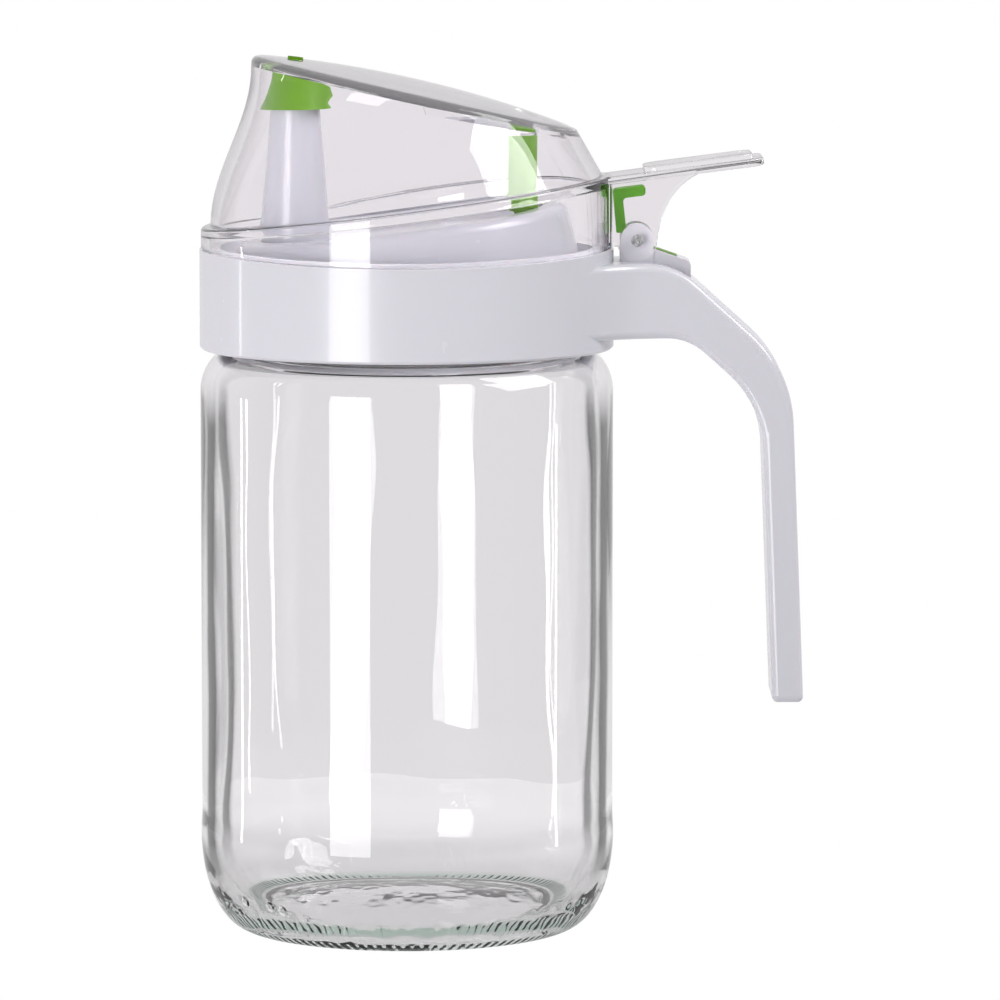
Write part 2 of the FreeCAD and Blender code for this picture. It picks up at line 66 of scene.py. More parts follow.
# Camera, read from the photograph's perspective
CAMERA_PLACE = Vector((0.01943, -1.4127, 0.2414))
CAMERA_AIM = Vector((0.0, 0.99428, -0.10679))
CAMERA_LENS = 244.8

# The jar's turned outline in millimetres, as in the CAD part
JAR_RADIUS = 43.0
JAR_RIDGE = 43.2
JAR_WALL = 2.8
RIM_HEIGHT = 135.8
NECK_RADIUS = 35.5
NECK_BORE = 32.3
SHOULDER_CENTRE = (33.0, 113.0)
SHOULDER_RADIUS = 10.0
HEEL_HEIGHT = 20.0
FOOT_RADIUS = 33.0
FOOT_BAND = 2.6
PUSH_UP = 3.0
RIM_ROUND = 1.2

# What only the visible jar has: its inside floor and wavy wall in millimetres, ridges and steps round it
JAR_FLOOR_RISE = 1.6
WALL_WAVE = 0.32
WAVE_FADE = 14.0
FOOT_RIDGES = 120
TURN_STEPS = 160

# Middles of the round mould marks on the heel, in metres
MOULD_DOTS = ((-0.03317, -0.02491, 0.00889), (-0.02789, -0.03065, 0.00876), (-0.02528, -0.0326, 0.00824))

# The lid's shape in millimetres, as in the CAD part
TILT = math.tan(math.radians(7.33))
SEAM_HEIGHT = 141.2
SEAM_BOW = 663.4
SKIRT_RADIUS = 42.8
LID_WALL = 1.8
LEDGE_HEIGHT = 152.3
LEDGE_THICKNESS = 2.0
LEDGE_RADIUS = 40.8
LEDGE_ROUND = 0.6
EDGE_ROUND = 0.3
ROOF_INSETS = (8.6, 5.4, 11.3)
ROOF_RISES = (28.2, 14.7)
ROOF_SLOPE = math.radians(12.4)
ROOF_HEIGHT = 177.8
ROOF_RADIUS = 240.0
ROOF_CENTRE = Vector((-ROOF_RADIUS * math.sin(ROOF_SLOPE), 0,
                      ROOF_HEIGHT - ROOF_RADIUS * math.cos(ROOF_SLOPE)))
ROOF_MIDDLE = 1.6
ROOF_THICKNESS = 2.1
ROOF_ROUND = 1.6
PIN = (47.8, 144.5)
PIN_RADIUS = 1.2
EYE_RADIUS = 4.2
EYE_HOLE = 1.25
WEB_INNER, WEB_OUTER = 6.4, 8.4
WEB_BOW = 3.7
WEB_TIP_SETBACK = 9.0
LEVER_END = 74.0
LEVER_THICKNESS = 1.6
SPOUT_X = -23.0
STEM_HOLE = [(0, 176), (1.65, 176), (1.65, 186), (0, 186)]
VENT_X = 24.1
VENT_BOSS = [(0, 160.0), (1.2, 160.0), (1.45, 160.2), (1.45, 165.85),
             (2.7, 165.85), (2.95, 166.1), (2.95, 169.6), (0, 169.6)]

# Edges of the lid that bend more than this are shaded as sharp
SHARP_ANGLE = math.radians(32)

# The stage: its disc in metres and its colour
STAGE_RADIUS = 0.2
STUDIO_TINT = (1.0, 0.985, 1.0, 1)


def new_material(name, color, roughness, **sockets):
    """A Principled material; other sockets are given by their names with _ for a space."""
    material = bpy.data.materials.new(name)
    material.use_nodes = True
    shader = material.node_tree.nodes["Principled BSDF"]
    shader.inputs["Base Color"].default_value = color
    shader.inputs["Roughness"].default_value = roughness
    for socket, value in sockets.items():
        shader.inputs[socket.replace("_", " ")].default_value = value
    return material


def add_node(material, kind, **values):
    """A node whose sockets are given by their names with _ for a space."""
    node = material.node_tree.nodes.new(kind)
    for name, value in values.items():
        node.inputs[name.replace("_", " ")].default_value = value
    return node


def noise(material, scale, detail=2.0, stretch=(1, 1, 1)):
    """Noise in object space, in cycles per metre, stretched by a mapping."""
    links = material.node_tree.links
    place = add_node(material, "ShaderNodeTexCoord")
    mapping = add_node(material, "ShaderNodeMapping", Scale=stretch)
    texture = add_node(material, "ShaderNodeTexNoise", Scale=scale, Detail=detail)
    links.new(place.outputs["Object"], mapping.inputs["Vector"])
    links.new(mapping.outputs["Vector"], texture.inputs["Vector"])
    return texture.outputs["Fac"]


def add_bump(material, height, strength, distance):
    """A bump from a height socket; an earlier bump is kept under it."""
    links = material.node_tree.links
    shader = material.node_tree.nodes["Principled BSDF"]
    bump = add_node(material, "ShaderNodeBump", Strength=strength, Distance=distance)
    links.new(height, bump.inputs["Height"])
    normal = shader.inputs["Normal"]
    if normal.links:
        links.new(normal.links[0].from_socket, bump.inputs["Normal"])
    links.new(bump.outputs["Normal"], normal)


def vary(material, socket, factor, low, high):
    """Drives a shader socket between two values by a factor socket."""
    links = material.node_tree.links
    shader = material.node_tree.nodes["Principled BSDF"]
    ramp = add_node(material, "ShaderNodeMapRange", To_Min=low, To_Max=high)
    links.new(factor, ramp.inputs["Value"])
    links.new(ramp.outputs["Result"], shader.inputs[socket])


def height_mask(material, low, high, axis="Z"):
    """A factor that goes from 0 to 1 between two heights in metres, or along another axis, smoothly."""
    links = material.node_tree.links
    place = add_node(material, "ShaderNodeTexCoord")
    split = material.node_tree.nodes.new("ShaderNodeSeparateXYZ")
    ramp = add_node(material, "ShaderNodeMapRange", From_Min=low, From_Max=high)
    ramp.interpolation_type = "SMOOTHSTEP"
    links.new(place.outputs["Object"], split.inputs["Vector"])
    links.new(split.outputs[axis], ramp.inputs["Value"])
    return ramp.outputs["Result"]


def radius_mask(material, low, high):
    """A factor that goes from 0 to 1 between two distances from the jar's axis in metres."""
    links = material.node_tree.links
    place = add_node(material, "ShaderNodeTexCoord")
    flat = add_node(material, "ShaderNodeMapping", Scale=(1, 1, 0))
    reach = material.node_tree.nodes.new("ShaderNodeVectorMath")
    reach.operation = "LENGTH"
    ramp = add_node(material, "ShaderNodeMapRange", From_Min=low, From_Max=high)
    links.new(place.outputs["Object"], flat.inputs["Vector"])
    links.new(flat.outputs["Vector"], reach.inputs[0])
    links.new(reach.outputs["Value"], ramp.inputs["Value"])
    return ramp.outputs["Result"]


def combine(material, operation, a, b):
    """Two factors, or a factor and a number, put together by a math operation."""
    node = material.node_tree.nodes.new("ShaderNodeMath")
    node.operation = operation
    material.node_tree.links.new(a, node.inputs[0])
    if isinstance(b, float):
        node.inputs[1].default_value = b
    else:
        material.node_tree.links.new(b, node.inputs[1])
    return node.outputs["Value"]


def both(material, a, b):
    """A factor where two factors meet."""
    return combine(material, "MULTIPLY", a, b)


def blended(material, factor, low, high):
    """A colour between two, each a colour or a socket."""
    mix = material.node_tree.nodes.new("ShaderNodeMix")
    mix.data_type = "RGBA"
    material.node_tree.links.new(factor, mix.inputs["Factor"])
    for color, socket in ((low, mix.inputs[6]), (high, mix.inputs[7])):
        if isinstance(color, tuple):
            socket.default_value = color
        else:
            material.node_tree.links.new(color, socket)
    return mix.outputs[2]


def painted_wall_shade(material):
    """Painted shade: a dark wavy line painted into a glass wall where it turns away, as a colour socket."""
    links = material.node_tree.links
    facing = add_node(material, "ShaderNodeLayerWeight", Blend=0.5)
    uneven = add_node(material, "ShaderNodeMapRange", To_Min=-0.06, To_Max=0.06)
    links.new(noise(material, 55, 2, (1, 1, 0.45)), uneven.inputs["Value"])
    ramp = material.node_tree.nodes.new("ShaderNodeValToRGB")
    stops = ramp.color_ramp.elements
    stops[0].position, stops[0].color = 0.4, CLEAR_GLASS
    stops[1].position, stops[1].color = 0.6, (0.9, 0.895, 0.9, 1)
    for position, shade in ((0.655, 0.02), (0.75, 0.02), (0.8, 0.8), (0.95, 0.6)):
        stops.new(position).color = (shade, shade * 1.03, shade * 1.01, 1)
    bent = combine(material, "ADD", facing.outputs["Facing"], uneven.outputs["Result"])
    links.new(bent, ramp.inputs["Fac"])
    return ramp.outputs["Color"]


def painted_edge_shade(material):
    """Clear plastic with painted shade where it turns away, as a colour socket."""
    facing = add_node(material, "ShaderNodeLayerWeight", Blend=0.5)
    ramp = material.node_tree.nodes.new("ShaderNodeValToRGB")
    stops = ramp.color_ramp.elements
    stops[0].position, stops[0].color = 0.5, CLEAR_PLASTIC
    stops[1].position, stops[1].color = 0.92, CLEAR_PLASTIC_PAINTED_SHADE
    material.node_tree.links.new(facing.outputs["Facing"], ramp.inputs["Fac"])
    return ramp.outputs["Color"]


def tint(material, color):
    """Joins a colour socket to the shader."""
    shader = material.node_tree.nodes["Principled BSDF"]
    material.node_tree.links.new(color, shader.inputs["Base Color"])


def mould_dots(material):
    """A few round marks that the mould left on the heel."""
    links = material.node_tree.links
    place = add_node(material, "ShaderNodeTexCoord")
    total = None
    for dot in MOULD_DOTS:
        reach = material.node_tree.nodes.new("ShaderNodeVectorMath")
        reach.operation = "DISTANCE"
        reach.inputs[1].default_value = dot
        links.new(place.outputs["Object"], reach.inputs[0])
        ramp = add_node(material, "ShaderNodeMapRange", From_Min=0.0005, From_Max=0.0013,
                        To_Min=1.0, To_Max=0.0)
        ramp.interpolation_type = "SMOOTHSTEP"
        links.new(reach.outputs["Value"], ramp.inputs["Value"])
        total = combine(material, "MAXIMUM", ramp.outputs["Result"], total or 0.0)
    return total


def foot_stipple(material):
    """Short radial ridges round the bearing edge of the foot."""
    links = material.node_tree.links
    place = add_node(material, "ShaderNodeTexCoord")
    around = material.node_tree.nodes.new("ShaderNodeTexGradient")
    around.gradient_type = "RADIAL"
    links.new(place.outputs["Object"], around.inputs["Vector"])
    phase = combine(material, "MULTIPLY", around.outputs["Fac"], FOOT_RIDGES * 2 * math.pi)
    waves = combine(material, "SINE", phase, 0.0)
    ring = both(material, radius_mask(material, 0.0312, 0.032), height_mask(material, 0.0019, 0.001))
    return both(material, waves, ring)


def glass():
    """The jar's glass: painted shade lines in the walls, a green foot, an uneven base and mould marks."""
    material = new_material("clear_glass", CLEAR_GLASS, 0.0, Transmission_Weight=1.0, IOR=1.5)
    # Painted shade: the upright part of the wall darkens in a wavy line where it turns away
    upright = both(material, height_mask(material, 0.008, 0.02), height_mask(material, 0.118, 0.106))
    color = blended(material, upright, CLEAR_GLASS, painted_wall_shade(material))
    foot = both(material, height_mask(material, 0.003, 0.0), radius_mask(material, 0.031, 0.033))
    tint(material, blended(material, foot, color, GREEN_GLASS))
    add_bump(material, noise(material, 45, 1, (1, 1, 0.3)), 0.12, 0.0006)
    base = both(material, noise(material, 110, 2, (1, 0.6, 1)), height_mask(material, 0.012, 0.006))
    add_bump(material, base, 0.7, 0.0012)
    add_bump(material, mould_dots(material), 0.5, 0.0007)
    add_bump(material, foot_stipple(material), 0.5, 0.0003)
    return material


def clear_plastic(name, clearness):
    """The lid's plastic, clear or a little hazy, with painted shade where it turns away."""
    material = new_material(name, CLEAR_PLASTIC, 0.0, Transmission_Weight=clearness, IOR=1.49)
    tint(material, painted_edge_shade(material))
    vary(material, "Roughness", noise(material, 200, 3), 0.0, 0.03)
    add_bump(material, noise(material, 60, 1), 0.03, 0.0003)
    return material


def white_plastic(name, color):
    """Glossy opaque moulding."""
    material = new_material(name, color, 0.2, Subsurface_Weight=0.1, Subsurface_Scale=0.002,
                            Coat_Weight=0.4, Coat_Roughness=0.05)
    vary(material, "Roughness", noise(material, 300, 3), 0.2, 0.3)
    add_bump(material, noise(material, 120, 2), 0.06, 0.0002)
    return material


def silicone(name, color):
    """Soft matt rubber."""
    material = new_material(name, color, 0.45, Subsurface_Weight=0.15, Subsurface_Scale=0.002,
                            Specular_IOR_Level=0.15)
    vary(material, "Roughness", noise(material, 400, 3), 0.38, 0.55)
    add_bump(material, noise(material, 1500, 2), 0.12, 0.0001)
    return material


def steel():
    """Turned steel with an uneven end."""
    material = new_material("steel", STEEL, 0.25, Metallic=1.0)
    vary(material, "Roughness", noise(material, 900, 2, (1, 0.05, 1)), 0.2, 0.4)
    add_bump(material, noise(material, 1400, 3), 1.0, 0.0006)
    return material


def paint(node, material):
    """Gives a CAD node one material."""
    mesh = nodes[node].data
    mesh.materials.clear()
    mesh.materials.append(material)


def quarter(centre, wide, high, start, end, steps):
    """Points of an ellipse arc between two angles in degrees."""
    points = []
    for i in range(steps + 1):
        angle = math.radians(start + (end - start) * i / steps)
        points.append((centre[0] + wide * math.cos(angle), centre[1] + high * math.sin(angle)))
    return points


def straight(a, b, steps):
    """Points from a to b, without b."""
    return [(a[0] + (b[0] - a[0]) * i / steps, a[1] + (b[1] - a[1]) * i / steps) for i in range(steps)]


def jar_outside():
    """The outer outline from the middle of the underside up to the rim."""
    dome = FOOT_RADIUS - FOOT_BAND
    turn = math.degrees(math.acos((NECK_RADIUS - SHOULDER_CENTRE[0]) / SHOULDER_RADIUS))
    points = [(dome * i / 14, PUSH_UP * math.cos(math.pi / 2 * i / 14) ** 0.8) for i in range(14)]
    points += quarter((dome + 1.3, 1.3), 1.3, 1.3, 200, 270, 4)
    points += quarter((FOOT_RADIUS, HEEL_HEIGHT), JAR_RIDGE - FOOT_RADIUS, HEEL_HEIGHT, -90, 0, 22)
    points += straight((JAR_RIDGE, HEEL_HEIGHT + 1.5), (JAR_RADIUS, HEEL_HEIGHT + 5), 4)
    points += straight((JAR_RADIUS, HEEL_HEIGHT + 5), (JAR_RADIUS, SHOULDER_CENTRE[1]), 26)
    points += quarter(SHOULDER_CENTRE, SHOULDER_RADIUS, SHOULDER_RADIUS, 0, turn, 14)
    neck_start = points[-1][1]
    points += straight((NECK_RADIUS, neck_start + 0.6), (NECK_RADIUS, RIM_HEIGHT - RIM_ROUND), 4)
    return points + quarter((NECK_RADIUS - RIM_ROUND, RIM_HEIGHT - RIM_ROUND), RIM_ROUND, RIM_ROUND, 0, 90, 4)


def jar_inside():
    """The inner outline from the rim down to the middle of the domed floor."""
    bore = JAR_RADIUS - JAR_WALL
    inner = SHOULDER_RADIUS - JAR_WALL
    points = quarter((NECK_BORE + RIM_ROUND, RIM_HEIGHT - RIM_ROUND), RIM_ROUND, RIM_ROUND, 90, 180, 4)
    points += straight((NECK_BORE, RIM_HEIGHT - 2), (NECK_BORE, SHOULDER_CENTRE[1] + inner + 3.5), 4)
    points += quarter((NECK_BORE + 2.2, SHOULDER_CENTRE[1] + inner + 2.2), 2.2, 2.2, 180, 260, 5)
    points += quarter((bore - inner, SHOULDER_CENTRE[1]), inner, inner, 80, 0, 12)
    points += straight((bore, SHOULDER_CENTRE[1] - 2), (bore, HEEL_HEIGHT + 2), 26)
    points += quarter((bore - 10.6, HEEL_HEIGHT), 10.6, HEEL_HEIGHT - 3.4, 0, -84, 16)
    edge = points[-1]
    for i in range(1, 15):
        t = i / 14
        rise = JAR_FLOOR_RISE * (1 - math.cos(math.pi * t)) / 2
        points.append((edge[0] * (1 - t), edge[1] + rise))
    return points


def wave(angle, height):
    """The uneven inside of a blown wall, between about -1 and 1."""
    return (0.45 * math.sin(3 * angle + 0.9 + 0.021 * height)
            + 0.3 * math.sin(5 * angle - 1.3 + 0.034 * height)
            + 0.25 * math.sin(9 * angle + 2.1 - 0.05 * height + 0.8 * math.sin(0.09 * height)))


def jar_mesh():
    """A turned jar of its outer and inner outline; the inside of the wall is wavy."""
    outside = jar_outside()
    profile = outside + jar_inside()
    bore_low, bore_high = HEEL_HEIGHT, SHOULDER_CENTRE[1]
    vertices = []
    for index, (radius, height) in enumerate(profile):
        for step in range(TURN_STEPS):
            angle = 2 * math.pi * step / TURN_STEPS
            amount = 0.0
            if index >= len(outside) and bore_low < height < bore_high:
                fade = min(1.0, (height - bore_low) / WAVE_FADE, (bore_high - height) / WAVE_FADE)
                amount = WALL_WAVE * fade * wave(angle, height)
            reach = (radius + amount) / 1000
            vertices.append((reach * math.cos(angle), reach * math.sin(angle), height / 1000))
    faces = []
    for row in range(len(profile) - 1):
        for step in range(TURN_STEPS):
            after = (step + 1) % TURN_STEPS
            low, high = row * TURN_STEPS, (row + 1) * TURN_STEPS
            faces.append((low + step, low + after, high + after, high + step))
    jar = new_mesh("jar_glass", vertices, faces)
    for polygon in jar.data.polygons:
        polygon.use_smooth = True
    return jar


def seam(x):
    """Height of the lid's bowed lower edge."""
    return SEAM_HEIGHT + x * x / (2 * SEAM_BOW)


def roof(x, y, depth):
    """Height of the crowned roof, or of its underside at this depth."""
    reach = (ROOF_RADIUS - depth) ** 2 - (x - ROOF_CENTRE.x) ** 2 - y * y
    return ROOF_CENTRE.z + math.sqrt(reach)


def shell_point(angle, t, inset, drop):
    """A point of the upper shell: t runs from the ledge (0) to the roof's edge (1)."""
    blend = (1 - math.cos(math.pi * t)) / 2
    front_x = LEDGE_RADIUS - ROOF_INSETS[0] * blend - inset
    rear_x = LEDGE_RADIUS - ROOF_INSETS[1] * t - inset
    width = LEDGE_RADIUS - ROOF_INSETS[2] * t ** 1.1 - inset
    lean = TILT * LEDGE_RADIUS * (1 - t)
    front_z = LEDGE_HEIGHT - drop - lean + ROOF_RISES[0] * t
    rear_z = LEDGE_HEIGHT - drop + lean + ROOF_RISES[1] * t
    along = math.cos(angle)
    return ((rear_x - front_x) / 2 + along * (rear_x + front_x) / 2, width * math.sin(angle),
            (front_z + rear_z) / 2 + along * (rear_z - front_z) / 2)


def shell_column(angle):
    """The lid's outline at one angle: up the outside to the roof's middle and down the inside."""
    cos, sin = math.cos(angle), math.sin(angle)

    def at(radius, height):
        return (radius * cos, radius * sin, height + TILT * radius * cos)

    def foot(radius, lift):
        return (radius * cos, radius * sin, seam(radius * cos) + lift)

    inner_radius = SKIRT_RADIUS - LID_WALL
    column = [foot(inner_radius + EDGE_ROUND, 0), foot(SKIRT_RADIUS - EDGE_ROUND, 0),
              foot(SKIRT_RADIUS - 0.09, 0.09), foot(SKIRT_RADIUS, EDGE_ROUND)]
    column += midway(column[-1], at(SKIRT_RADIUS, LEDGE_HEIGHT - LEDGE_ROUND - 0.5))
    for i in range(6):
        turn = math.pi / 2 * i / 5
        column.append(at(SKIRT_RADIUS - LEDGE_ROUND * (1 - math.cos(turn)),
                         LEDGE_HEIGHT - LEDGE_ROUND * (1 - math.sin(turn))))
    column += [at(LEDGE_RADIUS + 0.5, LEDGE_HEIGHT), at(LEDGE_RADIUS + 0.15, LEDGE_HEIGHT + 0.1)]
    column += [shell_point(angle, 0.02 + 0.98 * i / 16, 0, 0) for i in range(17)]
    edge = column[-1]
    inward = Vector((edge[0] - ROOF_MIDDLE, edge[1])).normalized()
    for i in range(8):
        turn = math.pi / 2 * i / 7
        x = edge[0] - inward.x * ROOF_ROUND * (1 - math.cos(turn))
        y = edge[1] - inward.y * ROOF_ROUND * (1 - math.cos(turn))
        column.append((x, y, max(edge[2] + 0.02 * i, roof(x, y, 0) - ROOF_ROUND * (1 - math.sin(turn)))))
    rim = column[-1]
    for i in range(1, 12):
        x, y = ROOF_MIDDLE + (rim[0] - ROOF_MIDDLE) * (1 - i / 11), rim[1] * (1 - i / 11)
        column.append((x, y, roof(x, y, 0)))
    top = shell_point(angle, 1, LID_WALL, ROOF_THICKNESS)
    inside = []
    for i in range(12):
        x, y = ROOF_MIDDLE + (top[0] - ROOF_MIDDLE) * i / 11, top[1] * i / 11
        inside.append((x, y, roof(x, y, ROOF_THICKNESS)))
    inside += [shell_point(angle, 1 - i / 16, LID_WALL, ROOF_THICKNESS) for i in range(16)]
    inside += [at(LEDGE_RADIUS - LID_WALL, LEDGE_HEIGHT - LEDGE_THICKNESS),
               at(inner_radius - 0.2, LEDGE_HEIGHT - LEDGE_THICKNESS),
               at(inner_radius, LEDGE_HEIGHT - LEDGE_THICKNESS - 0.2)]
    inside += midway(inside[-1], foot(inner_radius, EDGE_ROUND)) + [foot(inner_radius + 0.09, 0.09)]
    return column, inside


def midway(a, b):
    """The point halfway between two points, and the second point."""
    return [tuple((a[i] + b[i]) / 2 for i in range(3)), b]


def lid_shell():
    """Skirt, ledge, leaning shell and crowned roof as one closed skin."""
    steps = 192
    columns = [shell_column(2 * math.pi * i / steps) for i in range(steps)]
    middle = len(columns[0][0]) - 1
    columns = [outside + inside for outside, inside in columns]
    count = len(columns[0])
    vertices = [(x / 1000, y / 1000, z / 1000) for column in columns for x, y, z in column]
    faces = []
    for i in range(steps):
        here, there = i * count, (i + 1) % steps * count
        for j in range(count):
            k = (j + 1) % count
            if j != middle:
                faces.append((here + j, there + j, there + k, here + k))
    return new_mesh("lid_shell", vertices, faces)


def new_mesh(name, vertices, faces):
    """A closed mesh object whose doubled points are merged and whose faces look outward."""
    mesh = bpy.data.meshes.new(name)
    mesh.from_pydata(vertices, [], faces)
    work = bmesh.new()
    work.from_mesh(mesh)
    bmesh.ops.remove_doubles(work, verts=work.verts, dist=0.000002)
    bmesh.ops.recalc_face_normals(work, faces=work.faces)
    work.to_mesh(mesh)
    work.free()
    thing = bpy.data.objects.new(name, mesh)
    scene.collection.objects.link(thing)
    return thing


def arc_points(x, y, radius, start, end, steps):
    """Points of a circle's arc between two angles in degrees."""
    turns = [math.radians(start + (end - start) * i / steps) for i in range(steps + 1)]
    return [(x + radius * math.cos(turn), y + radius * math.sin(turn)) for turn in turns]


def bevelled_plate(name, outlines, thickness, bevel):
    """A flat plate in its own XY plane, centred on Z = 0, with rounded edges; later outlines are holes."""
    curve = bpy.data.curves.new(name, "CURVE")
    curve.dimensions = "2D"
    curve.fill_mode = "BOTH"
    curve.extrude = (thickness / 2 - bevel) / 1000
    curve.bevel_depth = bevel / 1000
    curve.bevel_resolution = 2
    curve.offset = -bevel / 1000
    for points in outlines:
        spline = curve.splines.new("POLY")
        spline.points.add(len(points) - 1)
        spline.use_cyclic_u = True
        for point, (x, y) in zip(spline.points, points):
            point.co = (x / 1000, y / 1000, 0, 1)
    source = bpy.data.objects.new(name, curve)
    mesh = bpy.data.meshes.new_from_object(source)
    bpy.data.objects.remove(source)
    return mesh


def placed(name, mesh, matrix):
    """An object of a plate's mesh, put in place by its points."""
    mesh.transform(matrix)
    vertices = [tuple(vertex.co) for vertex in mesh.vertices]
    faces = [tuple(polygon.vertices) for polygon in mesh.polygons]
    return new_mesh(name, vertices, faces)


def rounded_box(low_x, high_x, low_half, high_half, low_round, high_round):
    """Outline in plan of a plate that widens from one end to the other, with round corners."""
    points = arc_points(high_x - high_round, high_half - high_round, high_round, 0, 90, 6)
    points += arc_points(low_x + low_round, low_half - low_round, low_round, 90, 180, 6)
    return points + [(x, -y) for x, y in reversed(points)]


def lever_plates():
    """The thumb lever and its raised pad, in the ledge's sloping plane."""
    lean = Matrix.Rotation(-math.atan(TILT), 4, "Y")
    stretch = math.hypot(1, TILT)
    plates = []
    plan = rounded_box(LEDGE_RADIUS + 0.4, LEVER_END, 9.2, 11.0, 0.2, 4.0)
    pad = rounded_box(49.2, 71.8, 8.6, 8.6, 3.0, 3.0)
    for name, outline, low, high in (("lever", plan, -LEVER_THICKNESS, 0.0), ("pad", pad, -0.8, 1.1)):
        outline = [(x * stretch, y) for x, y in outline]
        mesh = bevelled_plate(name, [outline], (high - low) / stretch, 0.35)
        lift = Matrix.Translation((0, 0, (LEDGE_HEIGHT + (low + high) / 2) / 1000))
        plates.append(placed(name, mesh, lift @ lean))
    return plates


def web_plates():
    """The two plates that carry the hinge eyes."""
    front = SKIRT_RADIUS - LID_WALL + 0.5
    under = LEDGE_HEIGHT - LEVER_THICKNESS / 2
    tip = (LEVER_END - WEB_TIP_SETBACK, under + TILT * (LEVER_END - WEB_TIP_SETBACK))
    heel = (PIN[0] + EYE_RADIUS, PIN[1])
    lift = WEB_BOW * math.sqrt(0.5)
    middle = ((tip[0] + heel[0]) / 2 - lift, (tip[1] + heel[1]) / 2 + lift)
    bend = [through(tip, middle, heel, i / 14) for i in range(15)]
    outline = [(front, PIN[1] - PIN_RADIUS), (front, under + TILT * front)] + bend
    outline += arc_points(PIN[0], PIN[1], EYE_RADIUS, -10, -163.4, 16)
    hole = arc_points(PIN[0], PIN[1], EYE_HOLE, 0, 337.5, 15)
    upright = Matrix.Rotation(math.pi / 2, 4, "X")
    plates = []
    for side in (1, -1):
        mesh = bevelled_plate("web", [outline, hole], WEB_OUTER - WEB_INNER, 0.15)
        shift = Matrix.Translation((0, side * (WEB_INNER + WEB_OUTER) / 2000, 0))
        plates.append(placed("web", mesh, shift @ upright))
    return plates


def through(a, middle, b, t):
    """A point of the parabola from a through the middle point to b."""
    bend = [2 * middle[i] - (a[i] + b[i]) / 2 for i in range(2)]
    return tuple((1 - t) ** 2 * a[i] + 2 * t * (1 - t) * bend[i] + t * t * b[i] for i in range(2))


def turned(name, x, profile):
    """A round body on an upright axis, from its half outline."""
    steps = 32
    vertices = []
    for radius, height in profile:
        for i in range(steps):
            turn = 2 * math.pi * i / steps
            across, along = x + radius * math.cos(turn), radius * math.sin(turn)
            vertices.append((across / 1000, along / 1000, height / 1000))
    faces = []
    for row in range(len(profile) - 1):
        for i in range(steps):
            after = (i + 1) % steps
            low, high = row * steps, (row + 1) * steps
            faces.append((low + i, low + after, high + after, high + i))
    return new_mesh(name, vertices, faces)


def clear_lid(plain, hazy):
    """The whole clear moulding: its bodies joined to one skin, a little hazy on the roof."""
    lid = lid_shell()
    boss = turned("vent_boss", VENT_X, VENT_BOSS)
    hole = turned("stem_hole", SPOUT_X, STEM_HOLE)
    others = lever_plates() + web_plates() + [boss, hole]
    for other in others:
        join = lid.modifiers.new("join", "BOOLEAN")
        join.operation = "DIFFERENCE" if other == hole else "UNION"
        join.solver = "MANIFOLD"
        join.object = other
    scene.view_layers[0].update()
    joined = bpy.data.meshes.new_from_object(lid.evaluated_get(bpy.context.evaluated_depsgraph_get()))
    for thing in [lid] + others:
        bpy.data.objects.remove(thing)
    joined.name = "lid_clear"
    joined.materials.clear()
    joined.materials.append(plain)
    joined.materials.append(hazy)
    for polygon in joined.polygons:
        polygon.use_smooth = True
        place = polygon.center * 1000
        on_roof = place.x < LEDGE_RADIUS and (place - ROOF_CENTRE).length > ROOF_RADIUS - ROOF_ROUND
        polygon.material_index = 1 if on_roof else 0
    joined.set_sharp_from_angle(angle=SHARP_ANGLE)
    piece = bpy.data.objects.new("lid_clear", joined)
    scene.collection.objects.link(piece)
    even = piece.modifiers.new("even", "WEIGHTED_NORMAL")
    even.keep_sharp = True
    return piece


def area_light(name, place, aim, size, power):
    """A white rectangle of light that looks at a point."""
    light = bpy.data.lights.new(name, "AREA")
    light.shape = "RECTANGLE"
    light.size, light.size_y = size
    light.energy = power
    lamp = bpy.data.objects.new(name, light)
    lamp.location = place
    lamp.rotation_euler = (Vector(aim) - Vector(place)).to_track_quat("-Z", "Y").to_euler()
    scene.collection.objects.link(lamp)


def floor():
    """A small pale disc that glows as painted light, brighter behind the object than in front of it."""
    mesh = bpy.data.meshes.new("floor")
    rim = [(x, y, 0) for x, y in arc_points(0, 0, STAGE_RADIUS, 0, 356.25, 95)]
    mesh.from_pydata(rim, [], [tuple(range(len(rim)))])
    plane = bpy.data.objects.new("floor", mesh)
    scene.collection.objects.link(plane)
    # Painted light: the floor glows, more strongly behind the object than in front
    material = new_material("floor", (0.25, 0.25, 0.25, 1), 0.7, Emission_Color=STUDIO_TINT)
    vary(material, "Roughness", noise(material, 30, 2), 0.65, 0.75)
    vary(material, "Emission Strength", height_mask(material, -0.02, 0.15, "Y"), 0.32, 0.66)
    mesh.materials.append(material)
    white_to_camera(material.node_tree, "Material Output", "ShaderNodeEmission")


def white_to_camera(tree, output, kind):
    """The stage is plain white where the camera sees it, and its own tone in glass and gloss."""
    surface = tree.nodes[output].inputs["Surface"]
    seen = tree.nodes.new("ShaderNodeLightPath")
    plain = tree.nodes.new(kind)
    plain.inputs["Strength"].default_value = 1.0
    plain.inputs["Color"].default_value = (1, 1, 1, 1)
    mix = tree.nodes.new("ShaderNodeMixShader")
    own = surface.links[0].from_socket
    tree.links.new(seen.outputs["Is Camera Ray"], mix.inputs[0])
    tree.links.new(own, mix.inputs[1])
    tree.links.new(plain.outputs[0], mix.inputs[2])
    tree.links.new(mix.outputs[0], surface)


def camera():
    """The photograph's viewpoint."""
    data = bpy.data.cameras.new("camera")
    data.sensor_width = 36.0
    data.lens = CAMERA_LENS
    eye = bpy.data.objects.new("camera", data)
    eye.location = CAMERA_PLACE
    eye.rotation_euler = CAMERA_AIM.to_track_quat("-Z", "Y").to_euler()
    scene.collection.objects.link(eye)
    scene.camera = eye


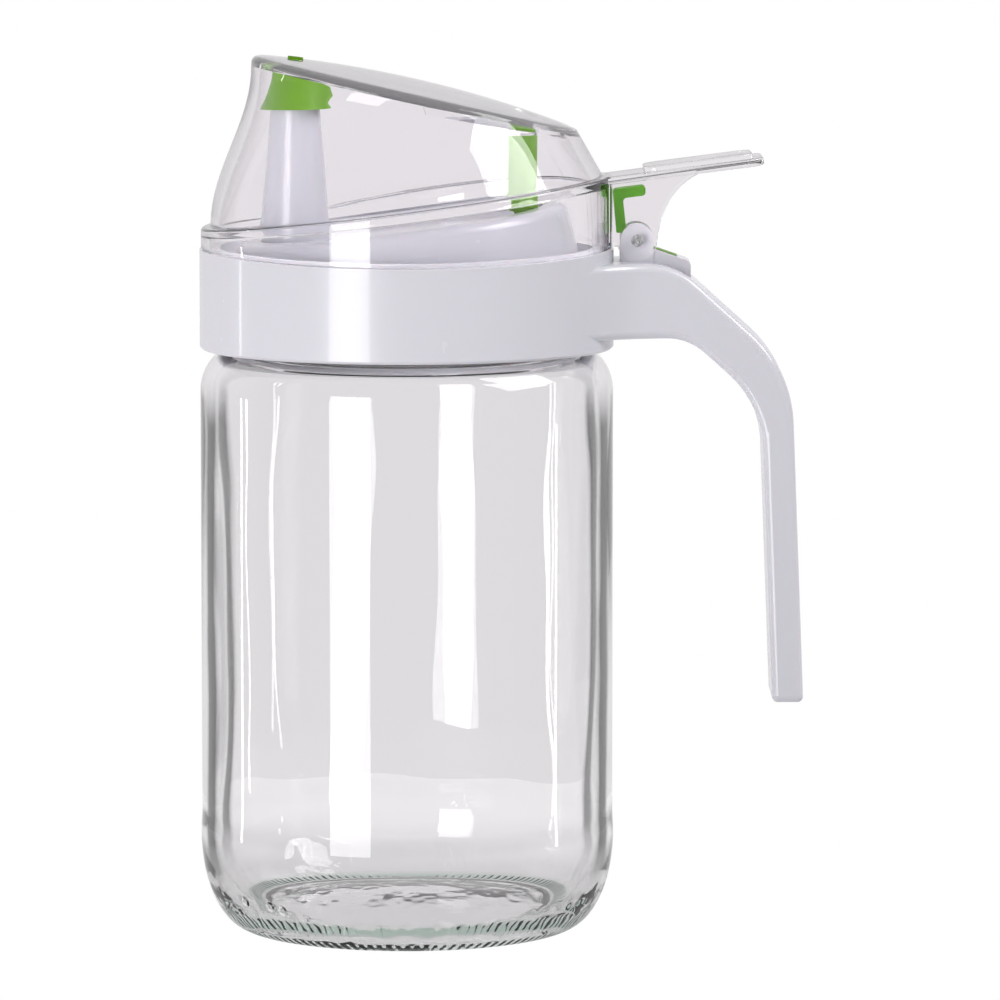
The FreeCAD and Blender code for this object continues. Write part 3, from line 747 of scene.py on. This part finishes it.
def world():
    """A pale studio, brighter behind the object than in front of it."""
    backdrop = bpy.data.worlds.new("studio")
    scene.world = backdrop
    backdrop.use_nodes = True
    tree = backdrop.node_tree
    background = tree.nodes["Background"]
    background.inputs["Color"].default_value = STUDIO_TINT
    place = tree.nodes.new("ShaderNodeTexCoord")
    split = tree.nodes.new("ShaderNodeSeparateXYZ")
    ramp = tree.nodes.new("ShaderNodeMapRange")
    ramp.interpolation_type = "SMOOTHSTEP"
    for socket, value in (("From Min", -0.1), ("From Max", 0.75), ("To Min", 0.45), ("To Max", 0.83)):
        ramp.inputs[socket].default_value = value
    tree.links.new(place.outputs["Generated"], split.inputs["Vector"])
    tree.links.new(split.outputs["Y"], ramp.inputs["Value"])
    tree.links.new(ramp.outputs["Result"], background.inputs["Strength"])
    white_to_camera(tree, "World Output", "ShaderNodeBackground")


green = silicone("green_silicone", GREEN_SILICONE)
clear_glass = glass()
plastic = clear_plastic("clear_plastic", 1.0)
paint("glass_jar", clear_glass)
paint("flip_lid", plastic)
paint("neck_gasket", silicone("white_silicone", WHITE_SILICONE))
paint("hinge_pin", steel())
paint("collar_handle", white_plastic("white_plastic", WHITE_PLASTIC))
# The insert takes the darker copy of the white plastic as painted shade
paint("pour_insert", white_plastic("white_plastic_insert_painted_shade", INSERT_PLASTIC_PAINTED_SHADE))
for node in ("spout_stopper", "vent_stopper", "strap_anchor"):
    paint(node, green)
# The strap takes the deeper green copy as painted shade
paint("lever_strap", silicone("green_silicone_strap_painted_shade", STRAP_GREEN_PAINTED_SHADE))

jar = jar_mesh()
jar.data.materials.append(clear_glass)
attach(jar, "jar")
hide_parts("glass_jar")
lid = clear_lid(plastic, clear_plastic("clear_plastic_roof", 0.88))
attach(lid, "lid")
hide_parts("flip_lid")
for clear in (jar, lid):
    clear.visible_shadow = False

floor()
camera()
world()
area_light("strip_left", (-0.32, -0.55, 0.03), (0, 0, 0.03), (0.25, 0.56), 2.8)
area_light("edge_left", (-0.78, 0.17, -0.07), (0, 0, -0.07), (0.025, 0.32), 0.2)
area_light("edge_right", (0.8, 0.0, -0.1), (0, 0, -0.1), (0.025, 0.27), 0.17)
area_light("high_right", (1.0, -0.15, 1.0), (0, 0, 0.15), (0.7, 0.7), 10)

scene.view_settings.view_transform = "Standard"
# Light passes many clear skins before it leaves the lid and the jar
scene.cycles.max_bounces = 32
scene.cycles.transmission_bounces = 32
scene.cycles.transparent_max_bounces = 32
